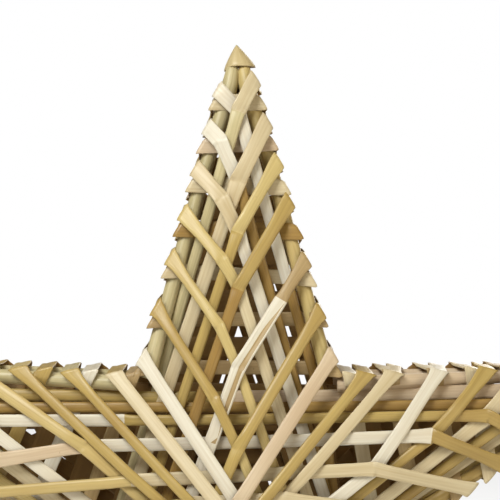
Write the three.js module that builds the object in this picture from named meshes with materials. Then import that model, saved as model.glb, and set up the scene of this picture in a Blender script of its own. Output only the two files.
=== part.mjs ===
// Straw tree topper: a hollow five-pointed star of straws wound over thick edge stalks.
// The star stands upright in the XZ plane and faces -Y. Its origin is the lower notch, where a tree's top
// shoot goes in between the front and the back face. Lengths are millimetres, angles are degrees.
import * as THREE from 'three';

// Outline, measured from the star's centre
const FULL_REACH = 157.5;
const RIGHT_REACH = 143.5;
const NOTCH_RADIUS = 57;
const RIGHT_LOWER_NOTCH_RADIUS = 46;
const RIGHT_ARM_LIFT = 1;
const ARM_SPACING = 72;

// Edge stalks: two on each arm's front face and two on its back face
const STALK_RADIUS = 2.8;
const STALK_TIP_RADIUS = 2.05;
const STALK_SIDES = 8;
const STALK_GAP_AT_TIP = 0.4;
const TIP_DEPTH = 2.5;
const NOTCH_DEPTH = 17;

// Folded cap over the stalks' ends
const CAP_LENGTH = 6.2;
const CAP_HALF_WIDTH = 5.6;
const CAP_HALF_DEPTH = 5.4;
const CAP_POINT_HALF_WIDTH = 0.9;
const CAP_MIDDLE_SHARE = 0.72;
const CAP_SIDES = 8;

// Straws: nearly round where they run free, flattened where they fold over a stalk
const RUN_WIDTH = 3.2;
const RUN_THICKNESS = 1.2;
const FOLD_WIDTH = 4.5;
const FOLD_THICKNESS = 1.1;
const CLEARANCE = 0.3;

// Winding plan
const COURSE_COUNT = 7;
const OUTER_COURSE_COUNT = 4;
const FIRST_FOLD = 8.5;
const LAST_FOLD = 9.8;
const LAST_FOLD_AT_SHOOT = 17;
const PITCH_GROWTH = 0.07;
const WRAP_OFFSET = 5.8;
const DIAGONAL_ANGLE = 33;
const LEAST_CROSSING_RADIUS = 3;
const STRAIGHT_WRAPS = 3;
const THREAD_LIFT = 1;
const STALK_SHOULDER = 5.2;
const KNOT_SPACING = 4.4;

const COLOURS = {
  stalk: 0xc4b268,
  cap: 0xc9bb7e,
  courses: [0xe9e3d3, 0xe6ddc4, 0xdccb92, 0xd3bf74, 0xd6c483, 0xc7a95c, 0xebe5d8],
};

const radians = THREE.MathUtils.degToRad;
const lerp = THREE.MathUtils.lerp;

function polar(radius, angle) {
  return new THREE.Vector2(Math.cos(radians(angle)), Math.sin(radians(angle))).multiplyScalar(radius);
}

// A plan point has x to the right and y up the star; height is the distance from the middle plane.
function toSpace(plan, height, face) {
  return new THREE.Vector3(plan.x, face * height, plan.y + NOTCH_RADIUS);
}

// Arms, counted from the top arm and round to its left, each with the notch to its own left
const usualArm = { reach: FULL_REACH, lift: 0, notchRadius: NOTCH_RADIUS, lastFold: LAST_FOLD };
const arms = [
  { ...usualArm, name: 'top' },
  { ...usualArm, name: 'left' },
  { ...usualArm, name: 'lower_left', lastFold: LAST_FOLD_AT_SHOOT },
  { ...usualArm, name: 'lower_right', notchRadius: RIGHT_LOWER_NOTCH_RADIUS },
  { ...usualArm, name: 'right', reach: RIGHT_REACH, lift: RIGHT_ARM_LIFT },
].map((arm, index) => ({ ...arm, angle: 90 + index * ARM_SPACING + arm.lift }));
const ARM_COUNT = arms.length;
const notches = arms.map(({ notchRadius, lastFold }, index) => (
  { point: polar(notchRadius, 90 + (index + 0.5) * ARM_SPACING), lastFold }));

// A course is wound arm by arm in this order. An outer course is made as two straws, an inner one as three.
const WINDING_ORDER = ['lower_right', 'top', 'lower_left', 'right', 'left']
  .map((name) => arms.findIndex((arm) => arm.name === name));
const OUTER_STRAWS = { top: WINDING_ORDER.slice(0, 2), side: WINDING_ORDER.slice(2) };
const INNER_STRAWS = { ...OUTER_STRAWS, side: WINDING_ORDER.slice(2, 4), left: WINDING_ORDER.slice(4) };

// One edge of an arm in plan: the stalk's centre line from the cap to the notch. Side 1 is the arm's left.
function edgeLine(armIndex, side) {
  const arm = arms[armIndex];
  const axis = polar(1, arm.angle);
  const sideways = new THREE.Vector2(-axis.y, axis.x).multiplyScalar(side);
  const notch = notches[side === 1 ? armIndex : (armIndex + ARM_COUNT - 1) % ARM_COUNT];
  const spread = STALK_TIP_RADIUS + STALK_GAP_AT_TIP / 2;
  const tip = axis.clone().multiplyScalar(arm.reach - CAP_LENGTH - CLEARANCE);
  tip.addScaledVector(sideways, spread);
  const outerTip = tip.clone().addScaledVector(sideways, STALK_TIP_RADIUS);
  const edge = notch.point.clone().sub(outerTip).normalize();
  const outward = new THREE.Vector2(edge.y, -edge.x);
  outward.multiplyScalar(Math.sign(outward.dot(sideways)));
  const end = notch.point.clone().addScaledVector(outward, -STALK_RADIUS);
  const direction = end.clone().sub(tip).normalize();
  const length = tip.distanceTo(end);
  return { axis, sideways, tip, end, direction, outward, length, lastFold: notch.lastFold };
}

const edges = arms.map((arm, index) => ({ left: edgeLine(index, 1), right: edgeLine(index, -1) }));

// The right-hand stalk of each arm stops against the left-hand stalk of the arm before it.
function rightStalkLength(armIndex) {
  const line = edges[armIndex].right;
  const neighbour = edges[(armIndex + ARM_COUNT - 1) % ARM_COUNT].left;
  const sine = Math.abs(line.direction.cross(neighbour.direction));
  const cosine = Math.abs(line.direction.dot(neighbour.direction));
  const setback = (STALK_RADIUS * (1 + cosine) + CLEARANCE) / sine;
  const toNeighbour = neighbour.tip.clone().sub(line.tip).cross(neighbour.direction);
  return toNeighbour / line.direction.cross(neighbour.direction) - setback;
}

function stalkAt(line, distance) {
  const share = distance / line.length;
  return {
    plan: line.tip.clone().addScaledVector(line.direction, distance),
    depth: lerp(TIP_DEPTH, NOTCH_DEPTH, share),
    radius: lerp(STALK_TIP_RADIUS, STALK_RADIUS, share),
  };
}

// Distance from the cap along an edge at which a course is folded over the stalk
function foldDistance(line, course, offset) {
  const grown = (count) => count + (PITCH_GROWTH * count * (count - 1)) / 2;
  const span = line.length - FIRST_FOLD - line.lastFold;
  return FIRST_FOLD + (span * grown(course)) / grown(COURSE_COUNT - 1) + offset;
}

// Where the two straws of a course cross on the arm's centre line
function crossingPoint(armIndex, course, offset) {
  const { left, right } = edges[armIndex];
  const crossings = [left, right].map((line) => {
    const { plan } = stalkAt(line, foldDistance(line, course, offset));
    const along = plan.dot(line.axis);
    const across = Math.abs(plan.cross(line.axis));
    return along - across / Math.tan(radians(DIAGONAL_ANGLE));
  });
  const radius = Math.max((crossings[0] + crossings[1]) / 2, LEAST_CROSSING_RADIUS);
  return left.axis.clone().multiplyScalar(radius);
}

// A corner where a straw turns over a stalk from a face to the arm's side
function foldCorner(line, distance, lift) {
  const { plan, depth, radius } = stalkAt(line, distance);
  const stand = radius + CLEARANCE + FOLD_THICKNESS / 2;
  return { plan: plan.addScaledVector(line.outward, stand), height: depth + stand + lift, line };
}

// Heights of a taut straw: the lowest line, bulging outwards, that clears every support under it
function tautOver(points) {
  const sorted = [...points].sort((a, b) => a.s - b.s);
  const hull = [];
  for (const point of sorted) {
    while (hull.length > 1) {
      const [before, last] = hull.slice(-2);
      const turn = (last.s - before.s) * (point.height - before.height)
        - (last.height - before.height) * (point.s - before.s);
      if (turn < 0) break;
      hull.pop();
    }
    hull.push(point);
  }
  return hull;
}

function crossingShares(a, b, c, d) {
  const first = b.clone().sub(a);
  const second = d.clone().sub(c);
  const scale = first.cross(second);
  if (Math.abs(scale) < 1e-9) return null;
  const offset = c.clone().sub(a);
  const share = offset.cross(second) / scale;
  const other = offset.cross(first) / scale;
  const inside = (value) => value > -1e-6 && value < 1 + 1e-6;
  return inside(share) && inside(other) ? { share, other } : null;
}

// The height of a wound piece at a distance along its way, which is kept between its ends
function heightAlong(piece, distance) {
  let left = distance;
  for (let i = 0; i + 1 < piece.path.length; i += 1) {
    const [from, to] = [piece.path[i], piece.path[i + 1]];
    const length = from.plan.distanceTo(to.plan);
    const isLast = i + 2 === piece.path.length;
    const share = THREE.MathUtils.clamp(left / length, 0, 1);
    if (left <= length || isLast) return lerp(from.height, to.height, share);
    left -= length;
  }
  return piece.path[0].height;
}

// Every crossing of a plan route with a wound piece: where it is, how far the two lie across each other,
// and between which heights the wound piece stays there
function supportsFrom(route, piece, own) {
  const supports = [];
  let start = 0;
  for (let i = 0; i + 1 < route.length; i += 1) {
    const way = route[i + 1].clone().sub(route[i]);
    let pieceStart = 0;
    for (let j = 0; j + 1 < piece.path.length; j += 1) {
      const [from, to] = [piece.path[j].plan, piece.path[j + 1].plan];
      const hit = crossingShares(route[i], route[i + 1], from, to);
      if (hit) {
        const other = to.clone().sub(from).normalize();
        const sine = Math.abs(way.clone().normalize().cross(other));
        const cosine = Math.abs(way.clone().normalize().dot(other));
        const reach = (piece.width + own.width * cosine) / (2 * sine);
        const pieceReach = (own.width + piece.width * cosine) / (2 * sine);
        const at = pieceStart + hit.other * from.distanceTo(to);
        const heights = [-pieceReach, 0, pieceReach].map((shift) => heightAlong(piece, at + shift));
        const clear = (piece.thickness + own.thickness) / 2 + CLEARANCE;
        supports.push({
          s: start + hit.share * way.length(), reach: reach + CLEARANCE,
          over: Math.max(...heights) + clear, under: Math.min(...heights) - clear,
        });
      }
      pieceStart += from.distanceTo(to);
    }
    start += way.length();
  }
  return supports;
}

// The two edges of each support's footprint, at the height that passes over or under it
function footprints(supports, level) {
  return supports.flatMap((support) => [-1, 1].map((end) => (
    { s: support.s + end * support.reach, height: support[level] })));
}

function pathFrom(route, hull) {
  const knots = [];
  let start = 0;
  route.forEach((plan, index) => {
    if (index > 0) start += plan.distanceTo(route[index - 1]);
    knots.push({ plan, s: start });
  });
  const total = start;
  for (const { s } of hull) {
    const free = knots.every((knot) => Math.abs(knot.s - s) > KNOT_SPACING);
    if (!free) continue;
    const next = knots.findIndex((knot) => knot.s > s);
    const [before, after] = [knots[next - 1], knots[next]];
    const share = (s - before.s) / (after.s - before.s);
    knots.splice(next, 0, { plan: before.plan.clone().lerp(after.plan, share), s });
  }
  return knots.map((knot) => {
    const near = hull.filter((point) => Math.abs(point.s - knot.s) <= KNOT_SPACING);
    const inner = knot.s > 0 && knot.s < total;
    const highest = inner ? Math.max(...near.map((point) => point.height), -Infinity) : -Infinity;
    return { plan: knot.plan, height: Math.max(heightOn(hull, knot.s), highest) };
  });
}

function heightOn(hull, s) {
  const next = Math.max(1, hull.findIndex((point) => point.s >= s - 1e-9));
  const [before, after] = [hull[next - 1], hull[next]];
  return lerp(before.height, after.height, (s - before.s) / (after.s - before.s));
}

function routeLength(route) {
  return route.reduce((sum, plan, i) => sum + (i ? plan.distanceTo(route[i - 1]) : 0), 0);
}

// A straw's run across the body: from the right edge of one arm to the left edge of the arm after the next
function planStraw(from, course, offset) {
  const to = (from + 2) % ARM_COUNT;
  const lift = FOLD_THICKNESS + CLEARANCE;
  const start = foldCorner(edges[from].right, foldDistance(edges[from].right, course, offset), lift);
  const finish = foldCorner(edges[to].left, foldDistance(edges[to].left, course, offset), lift);
  const crossings = [crossingPoint(from, course, offset), crossingPoint(to, course, offset)];
  const bends = [from, from + 1].map((index) => runBend(crossings, index % ARM_COUNT));
  const route = [start.plan, crossings[0], ...bends.filter(Boolean), crossings[1], finish.plan];
  return { from, to, course, start, finish, route };
}

// A run that would lie under a notch's stalks is drawn in to pass just inside them.
function runBend([first, last], notchIndex) {
  const towards = notches[notchIndex].point.clone().normalize();
  const run = last.clone().sub(first);
  const radius = first.cross(run) / towards.cross(run);
  const outwards = edges[notchIndex].left.outward.dot(edges[(notchIndex + 1) % ARM_COUNT].right.outward);
  const stalks = (2 * STALK_RADIUS) / Math.sqrt((1 + outwards) / 2);
  const limit = notches[notchIndex].point.length() - stalks - RUN_WIDTH / 2 - CLEARANCE;
  return radius > limit ? towards.multiplyScalar(limit) : null;
}

const RUN = { width: RUN_WIDTH, thickness: RUN_THICKNESS };
const WRAP = { width: FOLD_WIDTH, thickness: FOLD_THICKNESS };

function layStraw(straw, wound) {
  const total = routeLength(straw.route);
  const supports = wound.flatMap((piece) => supportsFrom(straw.route, piece, RUN));
  const points = footprints(supports, 'over').filter(({ s }) => s > 0 && s < total);
  points.push({ s: 0, height: straw.start.height }, { s: total, height: straw.finish.height });
  return { ...straw, ...RUN, path: pathFrom(straw.route, tautOver(points)) };
}

// A flat wrap straight across an arm, over its two stalks
function planWrap(arm, course, offset) {
  const { left, right } = edges[arm];
  const start = foldCorner(left, foldDistance(left, course, offset), 0);
  const finish = foldCorner(right, foldDistance(right, course, offset), 0);
  const centre = start.plan.clone().lerp(finish.plan, 0.5);
  return { arm, course, start, finish, centre, ...WRAP, path: [start, finish] };
}

// Half of a pressed wrap, from its corner to the arm's centre line: over the stalk and over the low runs
// beside it, then under all the others
function threadHalf(corner, centre, straws) {
  const route = [corner.plan, centre];
  const length = routeLength(route);
  const met = straws.flatMap((straw) => supportsFrom(route, straw, WRAP)).sort((a, b) => a.s - b.s);
  const passed = [];
  let shoulderEnd = STALK_SHOULDER;
  for (const support of met) {
    const isLow = support.over < corner.height + THREAD_LIFT;
    const isInWay = support.s - support.reach < shoulderEnd && support.under < corner.height;
    if (isLow || isInWay) {
      passed.push(support);
      shoulderEnd = Math.max(shoulderEnd, support.s + support.reach);
    }
  }
  const above = met.filter((support) => !passed.includes(support));
  const points = footprints(passed, 'over').filter(({ s }) => s > 0 && s < length);
  points.push({ s: 0, height: corner.height }, { s: STALK_SHOULDER, height: corner.height });
  const toPlan = ({ s, height }) => ({ plan: corner.plan.clone().lerp(centre, s / length), height });
  return {
    shoulder: tautOver(points).map(toPlan),
    pressing: footprints(above, 'under').map(toPlan),
  };
}

// A wrap that the later straws press into the hollow arm
function pressWrap(wrap, straws) {
  const [first, last] = [wrap.start, wrap.finish].map((corner) => threadHalf(corner, wrap.centre, straws));
  const [from, to] = [first.shoulder.at(-1), last.shoulder.at(-1)];
  const length = from.plan.distanceTo(to.plan);
  const way = to.plan.clone().sub(from.plan).normalize();
  const points = [...first.pressing, ...last.pressing]
    .map(({ plan, height }) => ({ s: plan.clone().sub(from.plan).dot(way), height: -height }))
    .filter(({ s }) => s > 0 && s < length);
  points.push({ s: 0, height: -from.height }, { s: length, height: -to.height });
  const middle = tautOver(points).slice(1, -1)
    .map(({ s, height }) => ({ plan: from.plan.clone().lerp(to.plan, s / length), height: -height }));
  return { ...wrap, path: [...first.shoulder, ...middle, ...last.shoulder.reverse()] };
}

// Everything wound on one face, in the order in which it is laid
function windFace(foldOffset, wrapOffset) {
  const courses = [...Array(COURSE_COUNT).keys()];
  const wraps = courses.flatMap((course) => arms.map((arm, index) => planWrap(index, course, wrapOffset)));
  const straight = wraps.filter((wrap) => wrap.course < STRAIGHT_WRAPS);
  const straws = [];
  for (const course of courses) {
    for (const from of WINDING_ORDER) {
      straws.push(layStraw(planStraw(from, course, foldOffset), [...straight, ...straws]));
    }
  }
  const pressed = wraps.filter((wrap) => wrap.course >= STRAIGHT_WRAPS);
  return { straws, wraps: [...straight, ...pressed.map((wrap) => pressWrap(wrap, straws))] };
}

const faces = {
  front: { side: -1, ...windFace(0, WRAP_OFFSET) },
  back: { side: 1, ...windFace(WRAP_OFFSET, 0) },
};

// A closed surface through rings of points, with both its ends capped
function loft(rings) {
  const count = rings[0].length;
  const positions = rings.flat().flatMap((point) => point.toArray());
  const indices = [];
  for (let ring = 0; ring + 1 < rings.length; ring += 1) {
    for (let i = 0; i < count; i += 1) {
      const j = (i + 1) % count;
      const [a, b] = [ring * count + i, ring * count + j];
      indices.push(a, b, b + count, a, b + count, a + count);
    }
  }
  const last = (rings.length - 1) * count;
  for (let i = 1; i + 1 < count; i += 1) {
    indices.push(0, i + 1, i, last, last + i, last + i + 1);
  }
  const geometry = new THREE.BufferGeometry();
  geometry.setAttribute('position', new THREE.Float32BufferAttribute(positions, 3));
  geometry.setIndex(indices);
  geometry.computeVertexNormals();
  return geometry;
}

// The five-sided section of a straw at one station of its way, with its flat side facing outwards
const SECTION = [[0.6, 1], [-0.6, 1], [-1, 0], [0, -1], [1, 0]];
function strawRing({ place, across, outward, halfWidth, halfThickness }) {
  return SECTION.map(([wide, thick]) => place.clone()
    .addScaledVector(across, wide * halfWidth)
    .addScaledVector(outward, thick * halfThickness));
}

function cornerStation(corner, face) {
  const { line } = corner;
  const slope = (NOTCH_DEPTH - TIP_DEPTH) / line.length;
  const along = new THREE.Vector3(line.direction.x, face * slope, line.direction.y).normalize();
  const outward = new THREE.Vector3(line.outward.x, face, line.outward.y);
  outward.addScaledVector(along, -outward.dot(along)).normalize();
  return { place: toSpace(corner.plan, corner.height, face), outward, along, fold: true };
}

function faceStations(path, face) {
  const inner = path.slice(1, -1);
  return inner.map(({ plan, height }) => ({
    place: toSpace(plan, height, face), outward: new THREE.Vector3(0, face, 0),
  }));
}

// The cut end of a straw, halfway across an arm's side and just short of the next straw's end
function cutStation(last, next, line) {
  const gap = next.place.clone().sub(last.place).setLength(CLEARANCE / 2);
  const place = last.place.clone().lerp(next.place, 0.5).sub(gap);
  const along = new THREE.Vector3(line.direction.x, 0, line.direction.y);
  const outward = new THREE.Vector3(line.outward.x, 0, line.outward.y);
  return { place, along, outward, fold: true, cut: true };
}

// Part of a course: the straws that run over one face from these arms, and turn round the arms that they
// come to across the other face
function courseStations(course, fromArms, own, other) {
  const runFrom = (arm) => own.straws.find((item) => item.course === course && item.from === arm);
  const wrapOn = (arm) => other.wraps.find((item) => item.course === course && item.arm === arm);
  const stations = [];
  for (const arm of fromArms) {
    const straw = runFrom(arm);
    const wrap = wrapOn(straw.to);
    stations.push({ ...cornerStation(straw.start, own.side), run: straw.route[1] });
    stations.push(...faceStations(straw.path, own.side));
    stations.push({ ...cornerStation(straw.finish, own.side), run: straw.route.at(-2) });
    stations.push(cornerStation(wrap.start, other.side));
    stations.push(...faceStations(wrap.path, other.side).map((station) => ({ ...station, wrap: true })));
    stations.push(cornerStation(wrap.finish, other.side));
  }
  const [firstArm, lastArm] = [fromArms[0], runFrom(fromArms.at(-1)).to];
  const before = cornerStation(wrapOn(firstArm).finish, other.side);
  const after = cornerStation(runFrom(lastArm).start, own.side);
  stations.unshift(cutStation(stations[0], before, edges[firstArm].right));
  stations.push(cutStation(stations.at(-1), after, edges[lastArm].right));
  return stations;
}

// Gives each station its section: the width lies along the stalk at a fold, and square to the run elsewhere
function sizeStations(stations) {
  return stations.map((station, index) => {
    if (station.fold) return sizeFold(station, stations, index);
    const across = travel(stations, index).cross(station.outward).normalize();
    const { width, thickness } = station.wrap ? WRAP : RUN;
    return { ...station, across, halfWidth: width / 2, halfThickness: thickness / 2 };
  });
}

// The direction of travel at a station, halfway between those of the stretches before and after it
function travel(stations, index) {
  const { place } = stations[index];
  const incoming = place.clone().sub((stations[index - 1] ?? stations[index]).place).normalize();
  const leaving = (stations[index + 1] ?? stations[index]).place.clone().sub(place).normalize();
  return incoming.add(leaving);
}

function sizeFold(station, stations, index) {
  const side = station.along.dot(travel(stations, index).cross(station.outward));
  const across = station.along.clone().multiplyScalar(Math.sign(side));
  const halfThickness = station.cut ? FOLD_THICKNESS / 2 : FOLD_THICKNESS / Math.SQRT2;
  return { ...station, across, halfWidth: FOLD_WIDTH / 2 / foldSine(station), halfThickness };
}

function foldSine(station) {
  if (!station.run) return 1;
  const away = new THREE.Vector2(station.place.x, station.place.z - NOTCH_RADIUS).sub(station.run);
  const along = new THREE.Vector2(station.along.x, station.along.z).normalize();
  return Math.abs(away.normalize().cross(along));
}

function courseGeometry(course, fromArms, own, other) {
  return loft(sizeStations(courseStations(course, fromArms, own, other)).map(strawRing));
}

function stalkGeometry(line, length, face) {
  const rings = [0, length].map((distance) => {
    const { plan, depth, radius } = stalkAt(line, distance);
    const centre = toSpace(plan, depth, face);
    return [...Array(STALK_SIDES).keys()].map((i) => {
      const turn = (2 * Math.PI * (i + 0.5)) / STALK_SIDES;
      const square = distance === 0 ? line.sideways : line.outward;
      const outward = new THREE.Vector3(square.x, 0, square.y);
      return centre.clone().addScaledVector(outward, radius * Math.cos(turn))
        .add(new THREE.Vector3(0, radius * Math.sin(turn), 0));
    });
  });
  return loft(rings);
}

function capGeometry(arm) {
  const axis = polar(1, arm.angle);
  const sideways = new THREE.Vector2(-axis.y, axis.x);
  const levels = [[CAP_LENGTH, 1], [CAP_LENGTH / 2, CAP_MIDDLE_SHARE]].map(([below, share]) => (
    { below, width: CAP_HALF_WIDTH * share, depth: CAP_HALF_DEPTH * share }));
  levels.push({ below: 0, width: CAP_POINT_HALF_WIDTH, depth: CAP_POINT_HALF_WIDTH });
  const toCorner = 1 / Math.cos(Math.PI / CAP_SIDES);
  const rings = levels.map(({ below, width, depth }) => [...Array(CAP_SIDES).keys()].map((i) => {
    const turn = (2 * Math.PI * (i + 0.5)) / CAP_SIDES;
    const plan = axis.clone().multiplyScalar(arm.reach - below)
      .addScaledVector(sideways, width * toCorner * Math.cos(turn));
    return toSpace(plan, depth * toCorner * Math.sin(turn), 1);
  }));
  return loft(rings);
}

// Turns a surface inside out where its rings were drawn the other way round
function facingOut(geometry) {
  const { array } = geometry.attributes.position;
  const index = geometry.index.array;
  const corner = (i) => new THREE.Vector3().fromArray(array, index[i] * 3);
  let volume = 0;
  for (let i = 0; i < index.length; i += 3) {
    volume += corner(i).dot(corner(i + 1).cross(corner(i + 2)));
  }
  if (volume < 0) geometry.setIndex([...index].reverse());
  geometry.computeVertexNormals();
  return geometry;
}

function addPiece(group, name, geometry, color, roughness) {
  const material = new THREE.MeshStandardMaterial({ color, roughness, metalness: 0, flatShading: true });
  const mesh = new THREE.Mesh(facingOut(geometry), material);
  mesh.name = name;
  group.add(mesh);
}

const topper = new THREE.Group();
arms.forEach((arm, index) => {
  addPiece(topper, `${arm.name}_arm_tip_cap`, capGeometry(arm), COLOURS.cap, 0.5);
  for (const [faceName, face] of Object.entries(faces)) {
    const { left, right } = edges[index];
    const name = `${arm.name}_arm_${faceName}`;
    addPiece(topper, `${name}_left_stalk`, stalkGeometry(left, left.length, face.side), COLOURS.stalk, 0.45);
    const length = rightStalkLength(index);
    addPiece(topper, `${name}_right_stalk`, stalkGeometry(right, length, face.side), COLOURS.stalk, 0.45);
  }
});
for (let course = 0; course < COURSE_COUNT; course += 1) {
  const straws = course < OUTER_COURSE_COUNT ? OUTER_STRAWS : INNER_STRAWS;
  for (const [setName, fromArms] of Object.entries(straws)) {
    for (const [own, other] of [['front', 'back'], ['back', 'front']]) {
      const name = `${own}_course_${course + 1}_${setName}_straws`;
      const geometry = courseGeometry(course, fromArms, faces[own], faces[other]);
      addPiece(topper, name, geometry, COLOURS.courses[course], 0.4);
    }
  }
}

export default topper;
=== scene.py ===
"""Dresses the straw tree topper: a hollow five-pointed star of straws wound over thick edge stalks.

The star stands upright in the XZ plane and faces -Y, and its origin is the lower notch. The winding plan
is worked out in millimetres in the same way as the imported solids, and every mesh is made in metres.
"""
from __future__ import annotations

import logging
import math
import random
from dataclasses import dataclass, field
from enum import Enum
from itertools import accumulate

import bpy
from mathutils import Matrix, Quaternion, Vector

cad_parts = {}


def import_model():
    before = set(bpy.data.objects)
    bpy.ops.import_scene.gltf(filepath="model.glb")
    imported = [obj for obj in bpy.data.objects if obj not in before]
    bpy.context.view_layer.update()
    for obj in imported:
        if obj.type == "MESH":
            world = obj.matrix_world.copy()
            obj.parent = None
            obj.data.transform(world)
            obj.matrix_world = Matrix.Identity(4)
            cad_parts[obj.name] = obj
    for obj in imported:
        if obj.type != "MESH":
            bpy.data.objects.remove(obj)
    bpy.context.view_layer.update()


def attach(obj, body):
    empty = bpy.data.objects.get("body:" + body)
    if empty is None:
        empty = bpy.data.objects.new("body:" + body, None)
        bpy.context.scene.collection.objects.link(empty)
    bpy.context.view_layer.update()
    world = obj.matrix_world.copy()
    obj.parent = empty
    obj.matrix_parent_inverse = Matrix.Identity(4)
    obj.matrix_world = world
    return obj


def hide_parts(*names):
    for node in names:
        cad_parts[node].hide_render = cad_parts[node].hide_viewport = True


LOG = logging.getLogger("straw_topper")
METRES = 0.001
ROOT = "root"
FIBRE_UV = "straw_lengthwise"
Socket = bpy.types.NodeSocket
Triple = tuple[float, float, float]

# Outline of the star, in millimetres from its centre and degrees
FULL_REACH = 157.5
RIGHT_REACH = 143.5
NOTCH_RADIUS = 57.0
RIGHT_LOWER_NOTCH_RADIUS = 46.0
RIGHT_ARM_LIFT = 1.0
ARM_SPACING = 72.0
TOP_ANGLE = 90.0
ARM_COUNT = 5
RIGHT_ARM = 4
RIGHT_LOWER_NOTCH = 3
SHOOT_NOTCH = 2

# Edge stalks
STALK_RADIUS = 2.8
STALK_TIP_RADIUS = 2.05
STALK_GAP_AT_TIP = 0.4
TIP_DEPTH = 2.5
NOTCH_DEPTH = 17.0

# Caps over the stalks' ends
CAP_LENGTH = 6.2

# Straws and how they are wound, in millimetres and degrees
RUN_WIDTH = 3.2
RUN_THICKNESS = 1.5
FOLD_WIDTH = 4.5
FOLD_THICKNESS = 1.1
CLEARANCE = 0.3
WINDING_GAP = 0.1
PRESSED_SHARE = 0.7
PRESSED_MARGIN = 1.6
COURSE_COUNT = 7
OUTER_COURSE_COUNT = 4
FIRST_FOLD = 8.5
LAST_FOLD = 9.8
LAST_FOLD_AT_SHOOT = 17.0
PITCH_GROWTH = 0.07
WRAP_OFFSET = 5.8
DIAGONAL_ANGLE = 33.0
LEAST_CROSSING_RADIUS = 3.0
STRAIGHT_WRAPS = 3
STALK_SHOULDER = 4.4
FIRST_ARM_WOUND = 3

# Rows of the fibre pattern: the courses take 0 to 13
STALK_ROWS = 20
CAP_ROWS = 40
ROW_SHARE = 0.9
END_GRAIN = 0.1

# How near two lengths in mm, or two shares of a length, are before they count as the same
SAME_PLACE = 1e-3
SHARE_SLACK = 1e-6
TINY = 1e-9


class Tone(Enum):
    """The straws' natural and bleached colours, a brown painted shade for their sides that face into the
    hollow star, and the caps' colour.
    """

    WHITE = "bleached_white"
    CREAM = "warm_cream"
    PINK_CREAM = "pink_cream"
    YELLOW = "pale_yellow"
    GOLD = "gold"
    OCHRE = "ochre"
    GREENISH = "greenish_pale"
    TAN = "tan"
    INNER = "brown_inner_side"
    CAP = "folded_cap_tan"


Materials = dict[Tone, bpy.types.Material]


@dataclass(frozen=True)
class StrawFinish:
    """A straw's colours and surface, in linear RGB."""

    tone: Tone
    body: Triple
    fibre: Triple
    stain: Triple
    roughness: float
    mottling: float


FINISHES: dict[Tone, StrawFinish] = {
    finish.tone: finish
    for finish in (
        StrawFinish(Tone.WHITE, (0.82, 0.775, 0.68), (0.60, 0.50, 0.36), (0.62, 0.47, 0.28), 0.40, 0.22),
        StrawFinish(Tone.CREAM, (0.72, 0.62, 0.43), (0.52, 0.39, 0.20), (0.50, 0.34, 0.15), 0.42, 0.30),
        StrawFinish(Tone.PINK_CREAM, (0.72, 0.58, 0.42), (0.50, 0.35, 0.21), (0.46, 0.27, 0.14), 0.42, 0.30),
        StrawFinish(Tone.YELLOW, (0.66, 0.52, 0.23), (0.44, 0.31, 0.10), (0.42, 0.25, 0.07), 0.40, 0.34),
        StrawFinish(Tone.GOLD, (0.54, 0.39, 0.13), (0.34, 0.22, 0.06), (0.30, 0.16, 0.04), 0.38, 0.36),
        StrawFinish(Tone.OCHRE, (0.43, 0.27, 0.075), (0.27, 0.15, 0.035), (0.22, 0.10, 0.02), 0.40, 0.40),
        StrawFinish(Tone.GREENISH, (0.66, 0.565, 0.335), (0.38, 0.33, 0.15), (0.33, 0.27, 0.10), 0.40, 0.30),
        StrawFinish(Tone.TAN, (0.50, 0.36, 0.18), (0.31, 0.20, 0.08), (0.26, 0.14, 0.05), 0.45, 0.38),
        # Painted shade: the dark brown given to the sides of straws that face into the hollow star, standing
        # in for the shadow inside it
        StrawFinish(Tone.INNER, (0.31, 0.175, 0.048), (0.20, 0.11, 0.032), (0.16, 0.08, 0.02), 0.55, 0.38),
        StrawFinish(Tone.CAP, (0.66, 0.54, 0.31), (0.46, 0.35, 0.16), (0.42, 0.29, 0.11), 0.45, 0.32),
    )
}

TONE_LETTERS: dict[str, Tone] = {
    "W": Tone.WHITE, "C": Tone.CREAM, "P": Tone.PINK_CREAM, "Y": Tone.YELLOW,
    "G": Tone.GOLD, "O": Tone.OCHRE, "N": Tone.GREENISH, "T": Tone.TAN,
}
# Front runs' tones, by the arm that they start from and course by course from the points inwards: one for
# the part on that arm, one for the way over the body and one for the last part
# The third course's change from yellow to gold at its crease on the top arm is painted shade: past the crease
# the straw twists and catches less light.
FRONT_RUN_TONES: dict[int, tuple[str, ...]] = {
    0: ("CNN", "CCC", "YGG", "GOO", "TWW", "GGG", "PPP"),
    1: ("YYY", "CCC", "WWW", "YYY", "GGG", "GGG", "CCC"),
    2: ("CCC", "GGG", "CCC", "GGG", "WWW", "CCC", "GGG"),
    3: ("OOW", "OOW", "WWC", "CCY", "YYY", "YYG", "WWW"),
    4: ("GPG", "GOO", "GGW", "GWP", "CCY", "CCY", "YYY"),
}
# Tones of the back courses' wraps across the front of an arm
FRONT_BAND_TONES: dict[int, str] = {0: "CPCOCTT", 1: "CYCGGWT", 4: "CCTCTTC"}
# The stalks of each arm, left and right, on both faces
STALK_TONES: dict[int, str] = {0: "NY", 1: "CN", 2: "GN", 3: "NG", 4: "PG"}
# What all other straws are drawn from
DRAWN_TONES = "WCCPYYGGNT"
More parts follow.
